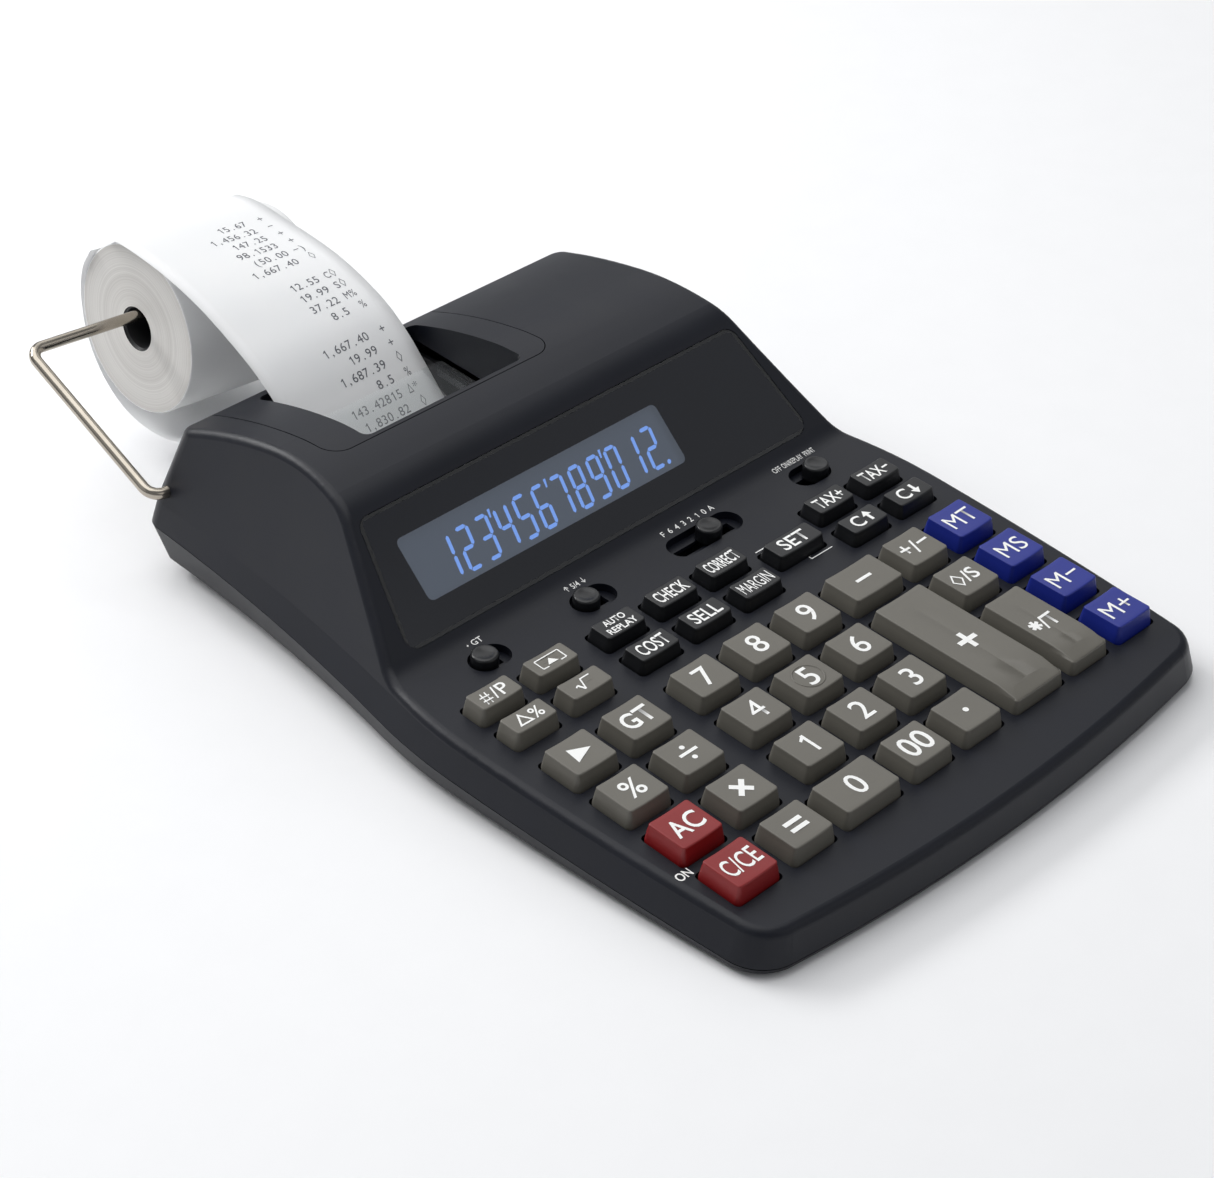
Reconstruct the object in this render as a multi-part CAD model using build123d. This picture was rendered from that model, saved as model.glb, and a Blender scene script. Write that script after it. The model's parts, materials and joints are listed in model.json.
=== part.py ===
from build123d import *
import math
import os

# Desk printing calculator with a thermal paper roll on a wire arm. Millimetres.
#
# Everything is drawn in the deck frame and tilted onto the table at the end. In the deck frame X points
# to the user's right, V back along the key deck and W up, square to the deck, with W = 0 at the key tops.

# ---------------------------------------------------------------- driving dimensions
PAPER_WIDTH = 57.5          # a standard 2 1/4 inch roll
WALL = 2.5                  # moulded wall of the two case halves
DECK_W = -5.6               # key deck surface
CREASE_W = -8.1             # where the flared skirt turns into the hood's side
PARTING_W = -16.5           # joint between the two case halves
CROWN_W = 32.0              # a level just above the hood
PARTING_GAP = 0.4
FRONT_V = -93.1
REAR_V = 188.5
SLOPE = 41.5                # display slope above the deck, degrees
SLOPE_START_V = 59.25
SLOPE_RUN = 42.2
RIDGE_RADIUS = 3.0

BASE_SLOPE = 2.44           # underside of the case against the key deck, degrees
FRONT_LIP = 1.5             # depth of the bottom case at the front edge
FRONT_FOOT = 2.0
REAR_FOOT = 6.0
FRONT_FOOT_AT = (78.0, -72.0)
REAR_FOOT_AT = (72.0, 168.0)
FOOT_SPAN = REAR_FOOT_AT[1] - FRONT_FOOT_AT[1]
TILT = BASE_SLOPE + math.degrees(math.atan2(REAR_FOOT - FRONT_FOOT, FOOT_SPAN))

KEY_W, KEY_D = 15.1, 13.9   # top face of an ordinary key
SMALL_D = 8.0               # top face depth in the two small rows
COLUMN = (-83.3, -60.9, -32.9, -10.5, 11.8, 37.3, 61.3, 83.3)
ROW = (0.0, -20.5, -41.0, -61.5)
SMALL_ROW = (35.6, 21.3)
KEY_FLARE = 1.15            # how far each side spreads from the top face to the deck
KEY_GAP = 0.5               # clearance round a key in its window
KEY_TRAVEL = 2.0
DISH = 0.35                 # depth of the hollow in a key top
FLANGE = 0.9                # retaining flange under the deck
BLACK_DROP = 1.0            # the black keys stand lower

SWITCH_V = 53.0
KNOB_R = 4.3
KNOB_TOP_W = -2.6
SLOT_R = 5.2
SLOT_DEPTH = 2.8
# name: (lowest knob centre, highest knob centre, where the knob stands)
SWITCHES = {
    "switch_grand_total": (-70.8, -66.8, -70.8),
    "switch_rounding": (-28.9, -22.9, -28.9),
    "switch_decimals": (13.0, 33.0, 24.8),
    "switch_power_print": (69.6, 74.8, 74.8),
}

PANEL_TOP_HALF = 80.2
PANEL_BOTTOM_HALF = 87.7
PANEL_LENGTH = 42.0
PANEL_THICKNESS = 1.6
LCD_LEFT, LCD_RIGHT = -72.3, 37.2
LCD_LOW, LCD_HIGH = 10.3, 31.5  # up the slope from the panel's lower edge

HATCH_LEFT, HATCH_RIGHT = -69.5, 22.0
HATCH_FRONT_V = 121.4
HATCH_LOW_W = 3.3
HATCH_CORNER = 7.0
HATCH_GAP = 0.35
WELL_LEFT, WELL_RIGHT = -55.5, 10.5
WELL_FRONT_V, WELL_REAR_V = 122.9, 176.0
SKIRT = 1.5                 # walls round the paper well

TEAR_EDGE = (162.2, 11.9)   # V, W of the cutting edge
TEAR_PLATE = (23.0, 1.5)    # depth and thickness of the clear plate
TEAR_TEETH = 64
TOOTH_DEPTH = 0.5
PLATEN_V, PLATEN_W = 151.3, -9.6
PLATEN_R = 6.0
SHAFT_R = 1.5
RUNNING = 0.05              # radial clearance of a running fit

WIRE_R = 1.9
WIRE_BEND = 5.0
ARM_X = -94.5
ARM_HOLE = (180.4, -3.5)    # V, W
ARM_TOP = (242.5, 21.5)     # V, W of the corner at the top of the arm
DROOP = 6.0                 # the roll's bar slopes down to its free end, degrees
ROLL_LEFT = -52.0
ROLL_R = 29.2
CORE_R = 7.0
TAPE_THICKNESS = 0.25

BIG = 400.0


# ---------------------------------------------------------------- shape of the case
def bow(start, end, rise):
    """Point beside the middle of a chord, on its outer side."""
    along = (end[0] - start[0], end[1] - start[1])
    length = math.hypot(*along)
    middle = ((start[0] + end[0]) / 2, (start[1] + end[1]) / 2)
    return (middle[0] + along[1] / length * rise, middle[1] - along[0] / length * rise)


def outline(w, front, corner, widest, shoulder, rear, corner_r, rear_r, inset=0.0):
    """Plan of the case at one level: bowed front, bowed sides that neck in towards a straight back."""
    side_bow = 1.15
    near = 0.01
    front_edge = ThreePointArc((-corner[0], corner[1]), (0, front), corner)
    belly = ThreePointArc(corner, bow(corner, widest, side_bow), widest)
    neck = TangentArc(widest, shoulder, tangent=belly % 1)
    tail = TangentArc(shoulder, rear, tangent=neck % 1)
    rear_edge = Line(rear, (-rear[0], rear[1]))
    sides = [belly, neck, tail]
    face = make_face([front_edge, *sides, rear_edge, *[mirror(side, about=Plane.YZ) for side in sides]])
    face = fillet([v for v in face.vertices() if abs(v.Y - corner[1]) < near], corner_r)
    face = fillet([v for v in face.vertices() if abs(v.Y - rear[1]) < near and abs(v.X) > rear[0] - near], rear_r)
    if inset:
        face = offset(face, -inset, kind=Kind.INTERSECTION)
    return Pos(0, 0, w) * face


LEAN = 12.7                 # how far the hood's sides lean in between crease and crown
PARTING_PLAN = dict(w=PARTING_W, front=FRONT_V, corner=(99.4, -85.4), widest=(105.95, 30), shoulder=(103.4, 64),
                    rear=(92.6, REAR_V), corner_r=14, rear_r=6)
CREASE_PLAN = dict(w=CREASE_W, front=-91.5, corner=(96.4, -83.8), widest=(103, 26), shoulder=(100.7, 56),
                   rear=(90.6, 187.4), corner_r=12, rear_r=6)
CROWN_PLAN = dict(w=CROWN_W, front=-91.5 + LEAN, corner=(96.4 - LEAN, -83.8 + LEAN), widest=(103 - LEAN, 26),
                  shoulder=(100.7 - LEAN, 56), rear=(90.6 - LEAN, 177.4), corner_r=9, rear_r=5)
BASE_W = -36.0
BASE_INSET = 5.0            # the bottom case draws in this far down to BASE_W
BASE_PLAN = dict(w=BASE_W, front=FRONT_V + BASE_INSET, corner=(99.4 - BASE_INSET, -85.4 + BASE_INSET),
                 widest=(105.95 - BASE_INSET, 30), shoulder=(103.4 - BASE_INSET, 64),
                 rear=(92.6 - BASE_INSET, REAR_V - BASE_INSET), corner_r=10, rear_r=5)


def turn(start, slope_in, slope_out, radius):
    """Arc of the roof line from one slope to another, in degrees, and the point where it ends."""
    side = 1 if slope_out > slope_in else -1
    first = math.radians(slope_in)
    centre = (start[0] - side * radius * math.sin(first), start[1] + side * radius * math.cos(first))

    def at(slope):
        angle = math.radians(slope)
        return (centre[0] + side * radius * math.sin(angle), centre[1] - side * radius * math.cos(angle))

    end = at(slope_out)
    return ThreePointArc(start, at((slope_in + slope_out) / 2), end), end


def roof_line(drop):
    """Edges of the roof from front to back, lowered by drop, with the two ends of the display slope."""
    start = (-BIG / 3, DECK_W - drop)
    foot = (SLOPE_START_V, DECK_W - drop)
    up = math.radians(SLOPE)
    hollow, slope_low = turn(foot, 0, SLOPE, 12 + drop)
    slope_high = (slope_low[0] + SLOPE_RUN * math.cos(up), slope_low[1] + SLOPE_RUN * math.sin(up))
    brow, brow_end = turn(slope_high, SLOPE, 12, 20 - drop)
    crown, crown_end = turn(brow_end, 12, -11, 75 - drop)
    back, back_end = turn(crown_end, -11, -24.5, 201 - drop)
    fall = math.radians(24.5)
    tail = (back_end[0] + 40 * math.cos(fall), back_end[1] - 40 * math.sin(fall))
    edges = [Line(start, foot), hollow, Line(slope_low, slope_high), brow, crown, back, Line(back_end, tail)]
    return edges, start, tail, slope_low, slope_high


def under_roof(drop):
    """Everything under the roof line, across the whole width."""
    edges, start, tail, _, _ = roof_line(drop)
    low_front = (start[0], -BIG / 4)
    low_back = (tail[0], -BIG / 4)
    edges += [Line(tail, low_back), Line(low_back, low_front), Line(low_front, start)]
    return extrude(Plane.YZ * make_face(edges), amount=BIG / 2, both=True)


def slab(x0, x1, v0, v1, w0, w1):
    """Block between two corners."""
    return Pos((x0 + x1) / 2, (v0 + v1) / 2, (w0 + w1) / 2) * Box(x1 - x0, v1 - v0, w1 - w0)


def upper_form(inset):
    plans = [outline(**plan, inset=inset) for plan in (PARTING_PLAN, CREASE_PLAN, CROWN_PLAN)]
    return loft(plans, ruled=True) & under_roof(inset)


def is_ridge(edge):
    """The long edge that runs round the deck and up over the hood."""
    centre = edge.center()
    at_side = abs(centre.X) > 60
    at_end = abs(centre.X) < 1 and (centre.Y < -80 or centre.Y > 178)
    return centre.Z > DECK_W - 1.4 and (at_side or at_end)


def ridged_form():
    form = upper_form(0)
    return fillet([edge for edge in form.edges() if is_ridge(edge)], RIDGE_RADIUS)


def lower_form(inset):
    """The bottom case's outside or inside, cut off along its sloping underside."""
    body = loft([outline(**plan, inset=inset) for plan in (BASE_PLAN, PARTING_PLAN)], ruled=True)
    underside = Pos(0, FRONT_V, PARTING_W - FRONT_LIP + inset) * Rot(-BASE_SLOPE, 0, 0)
    keep = underside * Pos(0, 0, BIG / 2) * Box(3 * BIG, 3 * BIG, BIG)
    return body & keep


def underside_w(v):
    return PARTING_W - FRONT_LIP - (v - FRONT_V) * math.tan(math.radians(BASE_SLOPE))


# ---------------------------------------------------------------- keys
def key_table():
    """Every key: name, centre, top face size, and how far its top stands below the tallest keys."""
    rows = []

    def add(name, column, v, width=KEY_W, depth=KEY_D, drop=0.0, shift=0.0):
        rows.append((name, COLUMN[column] + shift, v, width, depth, drop))

    small = {
        "key_item_count": (0, 0), "key_percent_change": (0, 1),
        "key_paper_feed": (1, 0), "key_square_root": (1, 1),
    }
    black = {
        "key_auto_replay": (2, 0), "key_cost": (2, 1), "key_check": (3, 0), "key_sell": (3, 1),
        "key_correct": (4, 0), "key_margin": (4, 1), "key_tax_plus": (6, 0), "key_rate_up": (6, 1),
        "key_tax_minus": (7, 0), "key_rate_down": (7, 1),
    }
    full = {
        0: ("key_backspace", "key_percent", "key_all_clear", "key_clear_entry"),
        1: ("key_grand_total", "key_divide", "key_multiply", "key_equals"),
        2: ("key_7", "key_4", "key_1"),
        3: ("key_8", "key_5", "key_2", "key_00"),
        4: ("key_9", "key_6", "key_3", "key_decimal"),
        6: ("key_sign", "key_subtotal"),
        7: ("key_memory_total", "key_memory_subtotal", "key_memory_minus", "key_memory_plus"),
    }
    for name, (column, row) in small.items():
        add(name, column, SMALL_ROW[row], depth=SMALL_D)
    for name, (column, row) in black.items():
        add(name, column, SMALL_ROW[row], depth=SMALL_D, drop=BLACK_DROP)
    for column, names in full.items():
        for row, name in enumerate(names):
            add(name, column, ROW[row])
    wide = 20.3
    zero_extra = 6.4
    add("key_0", 2, ROW[3], width=KEY_W + zero_extra, shift=-zero_extra / 2)
    add("key_set", 5, sum(SMALL_ROW) / 2, width=18.8, depth=SMALL_D, drop=BLACK_DROP, shift=-0.5)
    add("key_minus", 5, ROW[0], width=wide)
    add("key_plus", 5, ROW[2], width=wide, depth=KEY_D + ROW[1] - ROW[3])
    add("key_total", 6, (ROW[2] + ROW[3]) / 2, depth=KEY_D + ROW[2] - ROW[3])
    return rows


KEYS = key_table()
FLANGE_TOP_W = DECK_W - WALL - 0.3
FLANGE_THICKNESS = 1.2


def rounded(width, depth, radius, w):
    return Pos(0, 0, w) * RectangleRounded(width, depth, radius)


def key(x, v, width, depth, drop):
    """Cap with sloping sides and a dished top, and the flange that keeps it in the deck."""
    top = -drop
    flare = 2 * KEY_FLARE
    cap = loft([rounded(width, depth, 0.9, top), rounded(width + flare, depth + flare, 1.3, DECK_W)], ruled=True)
    cap = fillet(cap.faces().sort_by(Axis.Z)[-1].edges(), 0.4)
    dish_r = width * width / (8 * DISH) + DISH / 2
    cap -= Pos(0, 0, top - DISH + dish_r) * Rot(90, 0, 0) * Cylinder(dish_r, depth + 2 * flare)
    neck = extrude(rounded(width + flare, depth + flare, 1.3, FLANGE_TOP_W), amount=DECK_W - FLANGE_TOP_W)
    rim = 2 * FLANGE
    flange_w = FLANGE_TOP_W - FLANGE_THICKNESS
    flange = extrude(rounded(width + flare + rim, depth + flare + rim, 1.6, flange_w), amount=FLANGE_THICKNESS)
    return Pos(x, v, 0) * (cap + neck + flange)


def key_window(x, v, width, depth):
    grow = 2 * (KEY_FLARE + KEY_GAP)
    cut = rounded(width + grow, depth + grow, 1.7, DECK_W - WALL - 1)
    return Pos(x, v, 0) * extrude(cut, amount=WALL + 3)


# ---------------------------------------------------------------- slide switches
def stadium(low, high, radius, w0, w1):
    """Upright block with round ends between two centres along X."""
    plan = Pos((low + high) / 2, SWITCH_V, w0) * SlotCenterToCenter(high - low, 2 * radius)
    return extrude(plan, amount=w1 - w0)


SLOT_FLOOR_W = DECK_W - SLOT_DEPTH
STEM_HALF = 1.5


def switch_boss(low, high):
    return stadium(low, high, SLOT_R + 1.5, SLOT_FLOOR_W - 1.4, DECK_W - 1)


def switch_cut(low, high):
    well = stadium(low, high, SLOT_R, SLOT_FLOOR_W, DECK_W + 2)
    slit = slab(low - STEM_HALF - 0.6, high + STEM_HALF + 0.6, SWITCH_V - STEM_HALF - 0.4,
                SWITCH_V + STEM_HALF + 0.4, SLOT_FLOOR_W - 3, SLOT_FLOOR_W + 1)
    return well + slit


def knob(at):
    """Round finger knob on a square stem."""
    floor = SLOT_FLOOR_W + 0.35
    height = KNOB_TOP_W - floor
    body = Pos(at, SWITCH_V, floor + height / 2) * Cylinder(KNOB_R, height)
    body = fillet(body.edges().sort_by(Axis.Z)[-1], 0.6)
    stem = slab(at - STEM_HALF, at + STEM_HALF, SWITCH_V - STEM_HALF, SWITCH_V + STEM_HALF,
                SLOT_FLOOR_W - 4.5, floor + 0.5)
    return body + stem


# ---------------------------------------------------------------- display
def slope_plane(drop):
    """Plane on the display slope: local X across, local Y up the slope, local Z out of the surface."""
    _, _, _, low, _ = roof_line(drop)
    up = math.radians(SLOPE)
    return Plane(origin=(0, low[0], low[1]), x_dir=(1, 0, 0), z_dir=(0, -math.sin(up), math.cos(up)))


def panel_plan(grow):
    low, high = -grow + 0.1, PANEL_LENGTH + grow
    points = [(-PANEL_BOTTOM_HALF - grow, low), (PANEL_BOTTOM_HALF + grow, low),
              (PANEL_TOP_HALF + grow, high), (-PANEL_TOP_HALF - grow, high)]
    face = make_face(Polyline(*points, close=True))
    return fillet(face.vertices(), 4.5 + grow)


PANEL_SET = 0.1             # the panel sits this far below the surface round it
POCKET = PANEL_SET + PANEL_THICKNESS


def display_pocket():
    """Recess for the panel, and the opening behind it."""
    seat = slope_plane(0) * Pos(0, 0, -POCKET) * extrude(panel_plan(0.2), amount=POCKET + 3)
    opening = slope_plane(0) * Pos(0, 0, -8) * extrude(panel_plan(-3), amount=8)
    return seat + opening


def display_window():
    return slope_plane(0) * Pos(0, 0, -POCKET) * extrude(panel_plan(0), amount=PANEL_THICKNESS)


def lcd_cell():
    """Glass cell in a shallow frame behind the window."""
    margin = 2.5
    width = LCD_RIGHT - LCD_LEFT + 2 * margin
    height = LCD_HIGH - LCD_LOW + 2 * margin
    depth = 2.8
    centre = ((LCD_LEFT + LCD_RIGHT) / 2, (LCD_LOW + LCD_HIGH) / 2)
    return slope_plane(0) * Pos(*centre, -POCKET - 0.2 - depth / 2) * Box(width, height, depth)


# ---------------------------------------------------------------- printer hatch and well
def hatch_zone(grow):
    """Block that bounds the hatch, round at its two front corners."""
    zone = slab(HATCH_LEFT - grow, HATCH_RIGHT + grow, HATCH_FRONT_V - grow, REAR_V + 20, HATCH_LOW_W - grow, 60)
    upright = zone.edges().filter_by(Axis.Z)
    return fillet(upright.sort_by(Axis.Y)[:2], HATCH_CORNER + grow)


def well_plan(grow):
    width = WELL_RIGHT - WELL_LEFT + 2 * grow
    depth = WELL_REAR_V - WELL_FRONT_V + 2 * grow
    centre = ((WELL_LEFT + WELL_RIGHT) / 2, (WELL_FRONT_V + WELL_REAR_V) / 2)
    return Pos(*centre, 0) * RectangleRounded(width, depth, 3.0 + grow)


def printer_cover(outer, inner):
    """Lift-off hatch over the printer, open over the paper and walled round the opening."""
    skirt_low = 13.6
    shell = (outer - inner) & hatch_zone(0)
    skirt = extrude(Pos(0, 0, skirt_low) * (well_plan(SKIRT) - well_plan(0)), amount=BIG / 8) & inner
    skirt &= slab(-BIG, BIG, -BIG, WELL_REAR_V, -BIG, BIG)
    return shell + skirt - extrude(well_plan(0), amount=BIG / 8)


def tear_bar():
    """Clear plate in front of the paper, with a toothed cutting edge, end ribs and pivot pins."""
    depth, thickness = TEAR_PLATE
    left, right = WELL_LEFT + 0.9, WELL_RIGHT - 0.9
    edge_v, edge_w = TEAR_EDGE
    pitch = (right - left) / TEAR_TEETH
    tooth = TOOTH_DEPTH
    rise = 2.8
    points = [(left, edge_v - depth), (right, edge_v - depth), (right, edge_v - tooth)]
    for n in range(TEAR_TEETH):
        points.append((right - (n + 0.5) * pitch, edge_v))
        points.append((right - (n + 1) * pitch, edge_v - tooth))
    plate = extrude(make_face(Polyline(*points, close=True)), amount=thickness)
    bar = Pos(0, 0, edge_w - thickness) * plate
    for x in (left, right - 2.0):
        bar += slab(x, x + 2.0, edge_v - depth, edge_v - tooth - 1, edge_w - thickness - rise, edge_w + 0.6)
    return bar


# ---------------------------------------------------------------- paper, arm and roll
def axis_w(x):
    """Height of the drooping bar at X."""
    return ARM_TOP[1] - (x - ARM_X) * math.tan(math.radians(DROOP))


ROLL_FACE_W = axis_w(ROLL_LEFT) - (CORE_R - WIRE_R - RUNNING) / math.cos(math.radians(DROOP))


def paper_arm():
    """One length of plated wire: through the side of the hood, back and up, then across inside the roll."""
    hole_v, hole_w = ARM_HOLE
    end_x = ROLL_LEFT + PAPER_WIDTH + 4
    points = [(ARM_X + 16, hole_v, hole_w), (ARM_X, hole_v, hole_w), (ARM_X, *ARM_TOP),
              (end_x, ARM_TOP[0], axis_w(end_x))]
    path = FilletPolyline(*points, radius=WIRE_BEND)
    start = Plane(origin=points[0], z_dir=(-1, 0, 0))
    return sweep(start * Circle(WIRE_R), path=path)


def paper_roll():
    """Wound paper with an open core, hanging on the drooping bar."""
    roll = Cylinder(ROLL_R, PAPER_WIDTH) - Cylinder(CORE_R, PAPER_WIDTH + 2)
    turned = Rot(0, DROOP, 0) * Pos(PAPER_WIDTH / 2, 0, 0) * Rot(0, 90, 0) * roll
    return Pos(ROLL_LEFT, ARM_TOP[0], ROLL_FACE_W) * turned


TAPE_ROUTE = [(265.6, 31.3), (271.0, 22.0), (273.1, 10.0), (271.4, -4.0), (264.0, -17.2), (251.0, -25.6),
              (233.0, -26.4), (214.0, -20.0), (197.0, -11.0), (183.0, -6.0), (168.0, -10.4), (159.0, -15.6),
              (151.3, -17.6), (144.9, -14.8), (143.5, -9.0), (146.9, -4.4), (154.2, 2.0), (159.6, 7.3),
              (165.0, 12.4), (172.0, 18.8), (181.0, 25.0), (192.0, 30.3), (206.0, 35.8), (221.0, 39.5),
              (237.0, 41.4), (250.0, 41.5), (260.0, 39.4)]


def paper_tape():
    """The web from the roll into the printer, and the printed strip that comes out and lies over the roll."""
    route = Spline(*TAPE_ROUTE)
    ribbon = trace(route, line_width=TAPE_THICKNESS)
    right = ROLL_LEFT + PAPER_WIDTH
    return extrude(Plane.YZ.offset(ROLL_LEFT) * ribbon, amount=right - ROLL_LEFT)


def platen_roller():
    """Rubber roller on a steel shaft, across the paper path."""
    left, right = WELL_LEFT + 1.5, WELL_RIGHT - 1.5
    middle = (left + right) / 2
    along = Rot(0, 90, 0)
    roller = along * Cylinder(PLATEN_R, right - left - 2)
    shaft = along * Cylinder(SHAFT_R, right - left + 8.4)
    return Pos(middle, PLATEN_V, PLATEN_W) * (roller + shaft)


# ---------------------------------------------------------------- inside the case
PLATE_LEFT = (WELL_LEFT - 2.5, WELL_LEFT - 1.0)
PLATE_RIGHT = (WELL_RIGHT + 1.0, WELL_RIGHT + 2.5)
JACK_X = 55.0
JACK_W = -21.6
JACK_BORE_R = 2.8
JACK_LENGTH = 9.0
JACK_BODY_V = 183.0         # back of the jack's block
JACK_MOUTH_V = 186.5        # its round nose reaches into the hole in the case
JACK_NOSE_R = 4.3
SCREWS = ((-80.0, 120.0), (80.0, 120.0), (-84.0, 172.0), (78.0, 168.0), (0.0, 108.0))


def printer_frame():
    """Two bearing plates, the print head, and the floor of the paper well."""
    shaft_hole = Pos(0, PLATEN_V, PLATEN_W) * Rot(0, 90, 0) * Cylinder(SHAFT_R + RUNNING, BIG)
    plates = []
    for low, high in (PLATE_LEFT, PLATE_RIGHT):
        plates.append(slab(low, high, 138, 174, -24.5, 8) - shaft_hole)
    bed = slab(PLATE_LEFT[1], PLATE_RIGHT[0], 140, 172, -22.5, -21)
    head = slab(-48, 3, 139.5, 142.6, -21, -4.5)
    floor = slab(PLATE_LEFT[1], PLATE_RIGHT[0], 124, 141.2, 5.5, 7.3)
    return plates[0] + plates[1] + bed + head + floor


def motor():
    x0 = PLATE_RIGHT[1] + 1.5
    return Pos(x0 + 11, PLATEN_V + 6, -10) * Rot(0, 90, 0) * Cylinder(7.5, 22)


def key_mat():
    return slab(-92, 92, -71, 43, -13.1, -12.1)


def circuit_board():
    return slab(-90, 90, -70, 60, -14.7, -13.2)


def power_jack():
    """Socket for a mains adapter's barrel plug."""
    body = slab(JACK_X - 5.5, JACK_X + 5.5, JACK_BODY_V - 9, JACK_BODY_V, JACK_W - 4.8, JACK_W + 5)
    nose_length = JACK_MOUTH_V - JACK_BODY_V
    nose = Pos(JACK_X, JACK_BODY_V + nose_length / 2, JACK_W) * Rot(90, 0, 0) * Cylinder(JACK_NOSE_R, nose_length)
    bore = Pos(JACK_X, JACK_MOUTH_V - JACK_LENGTH / 2, JACK_W) * Rot(90, 0, 0) * Cylinder(JACK_BORE_R, JACK_LENGTH)
    return body + nose - bore


def screw(x, v):
    """Case screw, head down, recessed in the underside."""
    head_w = underside_w(v) + 3.0
    head = Pos(x, v, head_w + 1.0) * Cylinder(2.9, 2.0)
    shank = Pos(x, v, head_w + 7.0) * Cylinder(1.3, 10.0)
    return head + shank


def screw_boss(x, v):
    """Post in the bottom case round a screw, with the head's recess."""
    low = underside_w(v)
    post = Pos(x, v, (low + PARTING_W - 1) / 2) * Cylinder(4.8, PARTING_W - 1 - low)
    recess = Pos(x, v, low + 1.5) * Cylinder(3.2, 7.1)
    hole = Pos(x, v, low + 10) * Cylinder(1.5, 24)
    return post, recess + hole


def printer_and_board():
    """All fixed works inside the case, each its own solid in one group."""
    solids = [printer_frame(), motor(), key_mat(), circuit_board(), lcd_cell()]
    solids += [screw(x, v) for x, v in SCREWS]
    return Compound(children=[piece for group in solids for piece in group.solids()])


def bottom_case():
    """Lower half: a shallow tray, deeper at the back, with a lip that guides the top cover."""
    low_lip = PARTING_W - PARTING_GAP - 1.0
    lip_top = PARTING_W + 2.2
    level = slab(-BIG, BIG, -BIG, BIG, -BIG, PARTING_W - PARTING_GAP)
    tray = (lower_form(0) - lower_form(WALL - 0.3)) & level
    ring_out = outline(**{**PARTING_PLAN, "w": low_lip}, inset=WALL + 0.25)
    ring_in = outline(**{**PARTING_PLAN, "w": low_lip}, inset=WALL + 1.5)
    lip = extrude(ring_out - ring_in, amount=lip_top - low_lip)
    lip &= upper_form(WALL + 0.2) + slab(-BIG, BIG, -BIG, BIG, -BIG, PARTING_W + 0.1)
    tray += lip
    for x, v in SCREWS:
        post, hollow = screw_boss(x, v)
        tray = tray + (post & lower_form(0)) - hollow
    jack_hole = Pos(JACK_X, JACK_BODY_V + 5, JACK_W) * Rot(90, 0, 0) * Cylinder(JACK_NOSE_R + 0.3, 12)
    return tray - jack_hole


def top_cover(outer, inner):
    """Upper half: key deck, display slope and hood in one moulding."""
    cover = outer - inner
    for low, high, _ in SWITCHES.values():
        cover += switch_boss(low, high)
    for low, high, _ in SWITCHES.values():
        cover -= switch_cut(low, high)
    for _, x, v, width, depth, _ in KEYS:
        cover -= key_window(x, v, width, depth)
    cover -= display_pocket()
    cover -= hatch_zone(HATCH_GAP)
    inlet = slab(WELL_LEFT + 0.5, WELL_RIGHT - 0.5, REAR_V - 15, REAR_V + 10, -10, HATCH_LOW_W + 1)
    arm_hole = Pos(ARM_X, *ARM_HOLE) * Rot(0, 90, 0) * Cylinder(WIRE_R + RUNNING, 30)
    return cover - inlet - arm_hole


def rubber_feet(case):
    """Four round feet, cut to the slope of the underside so that all stand level."""
    feet = []
    for x, v, radius, height in ((*FRONT_FOOT_AT, 6.0, FRONT_FOOT), (*REAR_FOOT_AT, 7.0, REAR_FOOT)):
        for side in (-1, 1):
            sole = Pos(side * x, v, underside_w(v) - height) * Rot(-TILT, 0, 0)
            foot = sole * Pos(0, 0, 6.0) * Cylinder(radius, 12.0)
            below = Pos(0, FRONT_V, PARTING_W - FRONT_LIP) * Rot(-BASE_SLOPE, 0, 0) * Pos(0, 0, -BIG / 2)
            feet.append(foot & (below * Box(3 * BIG, 3 * BIG, BIG)))
    return Compound(children=[piece for foot in feet for piece in foot.solids()])


# ---------------------------------------------------------------- build
def build():
    outer = ridged_form()
    inner = upper_form(WALL)
    case = bottom_case()
    parts = {
        "top_cover": top_cover(outer, inner),
        "bottom_case": case,
        "printer_cover": printer_cover(outer, inner),
        "display_window": display_window(),
        "power_jack": power_jack(),
        "tear_bar": tear_bar(),
        "paper_arm": paper_arm(),
        "paper_roll": paper_roll(),
        "paper_tape": paper_tape(),
        "platen_roller": platen_roller(),
        "printer_and_board": printer_and_board(),
        "rubber_feet": rubber_feet(case),
    }
    for name, (_, _, at) in SWITCHES.items():
        parts[name] = knob(at)
    for name, x, v, width, depth, drop in KEYS:
        parts[name] = key(x, v, width, depth, drop)
    return parts


def stand(parts):
    """Tilts the deck frame onto the table and puts the origin under the middle of the whole."""
    tilt = Rot(TILT, 0, 0)
    tilted = {name: tilt * part for name, part in parts.items()}
    boxes = [part.bounding_box() for part in tilted.values()]
    middle = (min(box.min.Y for box in boxes) + max(box.max.Y for box in boxes)) / 2
    table = tilted["rubber_feet"].bounding_box().min.Z
    shift = Pos(0, -middle, -table)
    return {name: shift * part for name, part in tilted.items()}, shift * tilt


PARTS, TO_TABLE = stand(build())
os.makedirs("parts", exist_ok=True)
for node, shape in PARTS.items():
    export_step(shape, os.path.join("parts", f"{node}.step"))
print("tilt", round(TILT, 3), "nodes", len(PARTS))
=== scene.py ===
import json
import math
import bpy
from mathutils import Matrix, Vector


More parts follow.
